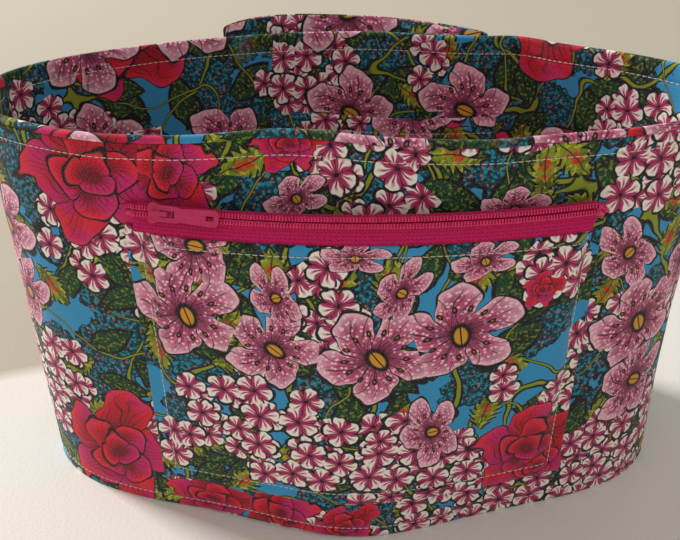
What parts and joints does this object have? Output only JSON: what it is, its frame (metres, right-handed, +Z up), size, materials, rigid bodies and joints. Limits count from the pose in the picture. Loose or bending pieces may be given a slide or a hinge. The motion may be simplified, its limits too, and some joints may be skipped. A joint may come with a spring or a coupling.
{
  "type": "knitting bag",
  "caption": "Open oval fabric organiser bag with padded walls, a zipped patch pocket in front, a slip pocket behind and pockets inside the lining.",
  "frame": {"origin": "middle of the whole bag's footprint, on the surface it stands on", "axes": "+X along the bag's length to the zip's open end side (right when the zipped pocket faces the viewer), +Y towards the back with the slip pocket, +Z up"},
  "size_m": [0.3102, 0.1802, 0.185],
  "materials": {
    "printed_cotton": "plain-weave quilting cotton, matt, floral print in pinks, red, green and blue",
    "lining_cotton": "plain-weave quilting cotton, matt, the same floral print",
    "foam": "soft sew-in foam between two fabric faces",
    "thread": "off-white polyester sewing thread",
    "zip_tape": "woven polyester zip tape, fuchsia",
    "zip_coil": "moulded nylon coil, fuchsia, satin",
    "slider_enamel": "die-cast zinc, glossy fuchsia enamel"
  },
  "bodies": {
    "bag": {"back_base_topstitch": "thread", "back_inner_pocket_divider_stitch": "thread", "back_inner_pocket_panel": "printed_cotton", "back_lining_panel": "lining_cotton", "back_outer_panel": "printed_cotton", "back_rim_topstitch_inside": "thread", "back_rim_topstitch_outside": "thread", "back_slip_pocket_lining": "lining_cotton", "back_slip_pocket_panel": "printed_cotton", "back_wall_foam": "foam", "base_foam": "foam", "base_lining_panel": "lining_cotton", "base_outer_panel": "printed_cotton", "front_base_topstitch": "thread", "front_lining_panel": "lining_cotton", "front_outer_panel": "printed_cotton", "front_rim_topstitch_inside": "thread", "front_rim_topstitch_outside": "thread", "front_wall_foam": "foam", "left_inner_pocket_panel": "printed_cotton", "right_inner_pocket_panel": "printed_cotton", "zip_coil_lower": "zip_coil", "zip_coil_upper": "zip_coil", "zip_end_tacks": "thread", "zip_pocket_front_panel": "printed_cotton", "zip_pocket_lining_panel": "lining_cotton", "zip_pocket_topstitch": "thread", "zip_tape_lower": "zip_tape", "zip_tape_upper": "zip_tape"},
    "slider": {"zip_slider": "slider_enamel"},
    "pull": {"zip_pull": "slider_enamel"}
  },
  "joints": [
    {"name": "zip_travel", "type": "hinge", "parent": "bag", "child": "slider", "pos_m": [0.004, 0.25814, 0.15775], "axis": [0, 0, 1], "range_deg": [0, 25.9]},
    {"name": "pull_swing", "type": "hinge", "parent": "slider", "child": "pull", "pos_m": [-0.07113, -0.07691, 0.15932], "axis": [-0.0925, -0.4124, -0.9063], "range_deg": [0, 170]}
  ]
}
